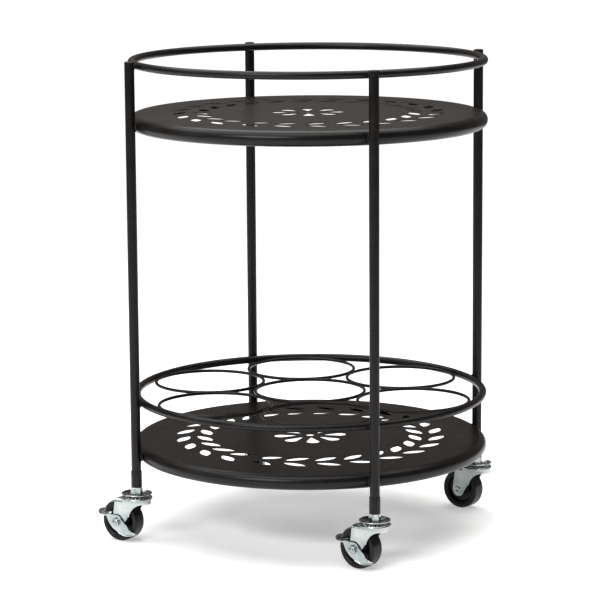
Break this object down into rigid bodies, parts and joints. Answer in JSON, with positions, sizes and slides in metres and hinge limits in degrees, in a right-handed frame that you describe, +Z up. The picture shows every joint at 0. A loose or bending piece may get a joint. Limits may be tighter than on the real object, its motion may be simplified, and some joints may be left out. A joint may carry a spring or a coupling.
{
  "type": "bar cart",
  "caption": "Round metal bar cart on swivel casters, with two pierced trays in slim posts, guard rails above each tray and a rack of bottle rings over the lower one.",
  "frame": {"origin": "on the floor below the centre of the round trays", "axes": "+Z up along the posts, -Y towards the two casters with brakes, +X to the right seen from there"},
  "size_m": [0.4394, 0.4394, 0.59],
  "materials": {
    "black_powder_coat": "satin",
    "zinc_plate": "bright zinc plated",
    "plain_steel": "bare",
    "hub_plastic": "gloss",
    "tyre_rubber": "smooth"
  },
  "bodies": {
    "frame": {"post_front_left": "black_powder_coat", "post_front_right": "black_powder_coat", "post_back_right": "black_powder_coat", "post_back_left": "black_powder_coat", "post_end_plugs": "black_powder_coat", "foot_ferrules": "black_powder_coat", "upper_guard_rail": "black_powder_coat", "lower_guard_rail": "black_powder_coat", "bottle_ring_centre": "black_powder_coat", "bottle_ring_1": "black_powder_coat", "bottle_ring_2": "black_powder_coat", "bottle_ring_3": "black_powder_coat", "bottle_ring_4": "black_powder_coat", "bottle_ring_5": "black_powder_coat", "bottle_ring_6": "black_powder_coat", "upper_tray": "black_powder_coat", "lower_tray": "black_powder_coat", "stem_front_left": "zinc_plate", "stem_front_right": "zinc_plate", "stem_back_right": "zinc_plate", "stem_back_left": "zinc_plate", "upper_race_front_left": "zinc_plate", "upper_race_front_right": "zinc_plate", "upper_race_back_right": "zinc_plate", "upper_race_back_left": "zinc_plate"},
    "swivel_front_left": {"balls_front_left": "plain_steel", "fork_front_left": "zinc_plate", "axle_front_left": "zinc_plate", "sleeve_front_left": "plain_steel", "axle_nut_front_left": "zinc_plate", "brake_spring_front_left": "plain_steel"},
    "wheel_front_left": {"wheel_hub_front_left": "hub_plastic", "tyre_front_left": "tyre_rubber"},
    "brake_front_left": {"brake_lever_front_left": "zinc_plate"},
    "swivel_front_right": {"balls_front_right": "plain_steel", "fork_front_right": "zinc_plate", "axle_front_right": "zinc_plate", "sleeve_front_right": "plain_steel", "axle_nut_front_right": "zinc_plate", "brake_spring_front_right": "plain_steel"},
    "wheel_front_right": {"wheel_hub_front_right": "hub_plastic", "tyre_front_right": "tyre_rubber"},
    "brake_front_right": {"brake_lever_front_right": "zinc_plate"},
    "swivel_back_right": {"balls_back_right": "plain_steel", "fork_back_right": "zinc_plate", "axle_back_right": "zinc_plate", "sleeve_back_right": "plain_steel"},
    "wheel_back_right": {"wheel_hub_back_right": "hub_plastic", "tyre_back_right": "tyre_rubber"},
    "swivel_back_left": {"balls_back_left": "plain_steel", "fork_back_left": "zinc_plate", "axle_back_left": "zinc_plate", "sleeve_back_left": "plain_steel"},
    "wheel_back_left": {"wheel_hub_back_left": "hub_plastic", "tyre_back_left": "tyre_rubber"}
  },
  "joints": [
    {"name": "caster_swivel_front_left", "type": "hinge", "parent": "frame", "child": "swivel_front_left", "pos_m": [-0.15981, -0.15981, 0.055], "axis": [0, 0, 1], "continuous": true},
    {"name": "wheel_spin_front_left", "type": "hinge", "parent": "swivel_front_left", "child": "wheel_front_left", "pos_m": [-0.18019, -0.15766, 0.025], "axis": [-0.1045, -0.9945, 0], "continuous": true},
    {"name": "brake_press_front_left", "type": "hinge", "parent": "swivel_front_left", "child": "brake_front_left", "pos_m": [-0.18019, -0.15766, 0.025], "axis": [-0.1045, -0.9945, 0], "range_deg": [0, 15]},
    {"name": "caster_swivel_front_right", "type": "hinge", "parent": "frame", "child": "swivel_front_right", "pos_m": [0.15981, -0.15981, 0.055], "axis": [0, 0, 1], "continuous": true},
    {"name": "wheel_spin_front_right", "type": "hinge", "parent": "swivel_front_right", "child": "wheel_front_right", "pos_m": [0.13983, -0.15519, 0.025], "axis": [-0.225, -0.9744, 0], "continuous": true},
    {"name": "brake_press_front_right", "type": "hinge", "parent": "swivel_front_right", "child": "brake_front_right", "pos_m": [0.13983, -0.15519, 0.025], "axis": [-0.225, -0.9744, 0], "range_deg": [0, 15]},
    {"name": "caster_swivel_back_right", "type": "hinge", "parent": "frame", "child": "swivel_back_right", "pos_m": [0.15981, 0.15981, 0.055], "axis": [0, 0, 1], "continuous": true},
    {"name": "wheel_spin_back_right", "type": "hinge", "parent": "swivel_back_right", "child": "wheel_back_right", "pos_m": [0.13975, 0.16407, 0.025], "axis": [-0.2079, -0.9781, 0], "continuous": true},
    {"name": "caster_swivel_back_left", "type": "hinge", "parent": "frame", "child": "swivel_back_left", "pos_m": [-0.15981, 0.15981, 0.055], "axis": [0, 0, 1], "continuous": true},
    {"name": "wheel_spin_back_left", "type": "hinge", "parent": "swivel_back_left", "child": "wheel_back_left", "pos_m": [-0.16847, 0.17838, 0.025], "axis": [-0.9063, -0.4226, 0], "continuous": true}
  ]
}
